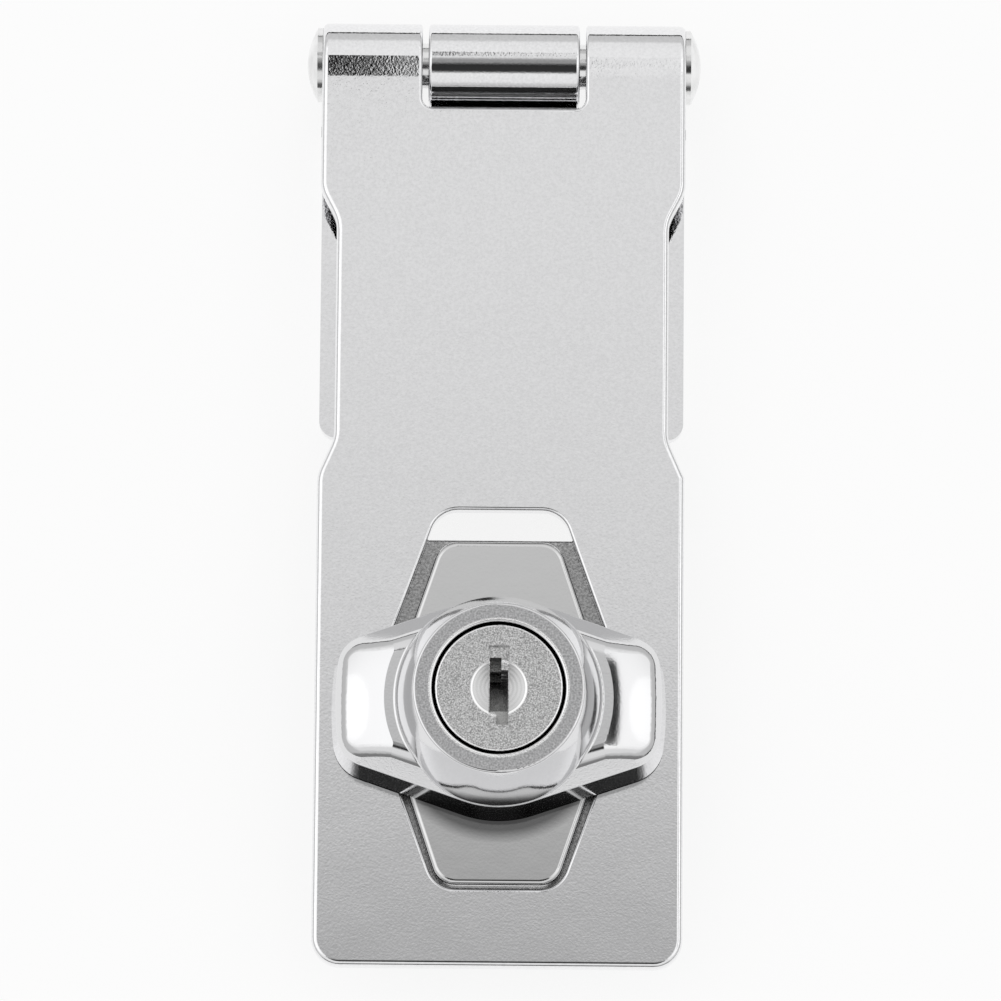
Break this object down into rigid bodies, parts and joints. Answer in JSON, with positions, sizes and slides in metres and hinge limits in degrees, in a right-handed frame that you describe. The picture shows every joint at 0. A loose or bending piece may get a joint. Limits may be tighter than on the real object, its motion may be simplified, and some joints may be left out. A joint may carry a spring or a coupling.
{
  "type": "keyed hasp lock",
  "caption": "Chrome hasp lock: a hinged slotted leaf drops over a cast square base and is held by a winged twist knob with a key cylinder and sliding locking bolt.",
  "frame": {"origin": "knob's axis where it meets the mounting plane, which is the centre of the base's four screw holes", "axes": "+Z out of the door towards the knob's face, +Y from the knob towards the hinge, +X to the right seen from the front"},
  "size_m": [0.042, 0.102, 0.024],
  "materials": {
    "plated_sheet": "bright chrome plate on rolled steel sheet",
    "rivet_steel": "bright plated rivet",
    "plated_casting": "thin chrome over a die-cast skin, dull behind",
    "knob_chrome": "polished chrome",
    "satin_plug": "fine blasted plating",
    "bolt_metal": "plain die-cast metal",
    "black_spring_steel": "black oxide spring steel",
    "wafer_nickel": "stamped brass, nickel plated",
    "spring_wire": "drawn spring wire"
  },
  "bodies": {
    "hasp": {"hasp_leaf": "plated_sheet", "hinge_pin": "rivet_steel", "lock_base": "plated_casting"},
    "fixed_leaf": {"fixed_leaf": "plated_sheet"},
    "knob": {"knob": "knob_chrome", "circlip": "black_spring_steel"},
    "plug": {"plug": "satin_plug", "retainer_wafer": "wafer_nickel", "retainer_spring": "spring_wire", "wafer_spring_1": "spring_wire", "wafer_spring_2": "spring_wire", "wafer_spring_3": "spring_wire", "wafer_spring_4": "spring_wire", "wafer_spring_5": "spring_wire"},
    "locking_bolt": {"locking_bolt": "bolt_metal"},
    "wafer_1": {"wafer_1": "wafer_nickel"},
    "wafer_2": {"wafer_2": "wafer_nickel"},
    "wafer_3": {"wafer_3": "wafer_nickel"},
    "wafer_4": {"wafer_4": "wafer_nickel"},
    "wafer_5": {"wafer_5": "wafer_nickel"}
  },
  "joints": [
    {"name": "leaf_hinge", "type": "hinge", "parent": "hasp", "child": "fixed_leaf", "pos_m": [0, 0.07065, 0.00445], "axis": [1, 0, 0], "range_deg": [0, 280]},
    {"name": "knob_turn", "type": "hinge", "parent": "hasp", "child": "knob", "pos_m": [0, 0, 0.009], "axis": [0, 0, 1], "range_deg": [0, 90]},
    {"name": "key_turn", "type": "hinge", "parent": "knob", "child": "plug", "pos_m": [0, 0, 0.0239], "axis": [0, 0, 1], "range_deg": [-180, 0]},
    {"name": "bolt_slide", "type": "slide", "parent": "knob", "child": "locking_bolt", "axis": [0, -1, 0], "range_m": [0, 0.00416]},
    {"name": "wafer_slide_1", "type": "slide", "parent": "plug", "child": "wafer_1", "axis": [0, -1, 0], "range_m": [-0.0005, 0.0005], "stiffness_N_per_m": 50, "deforming": ["wafer_spring_1"]},
    {"name": "wafer_slide_2", "type": "slide", "parent": "plug", "child": "wafer_2", "axis": [0, -1, 0], "range_m": [-0.0005, 0.0005], "stiffness_N_per_m": 50, "deforming": ["wafer_spring_2"]},
    {"name": "wafer_slide_3", "type": "slide", "parent": "plug", "child": "wafer_3", "axis": [0, -1, 0], "range_m": [-0.0005, 0.0005], "stiffness_N_per_m": 50, "deforming": ["wafer_spring_3"]},
    {"name": "wafer_slide_4", "type": "slide", "parent": "plug", "child": "wafer_4", "axis": [0, -1, 0], "range_m": [-0.0005, 0.0005], "stiffness_N_per_m": 50, "deforming": ["wafer_spring_4"]},
    {"name": "wafer_slide_5", "type": "slide", "parent": "plug", "child": "wafer_5", "axis": [0, -1, 0], "range_m": [-0.0005, 0.0005], "stiffness_N_per_m": 50, "deforming": ["wafer_spring_5"]}
  ],
  "couplings": [
    {"joint": "bolt_slide", "follows": "key_turn", "m_per_rad": -0.001321}
  ]
}
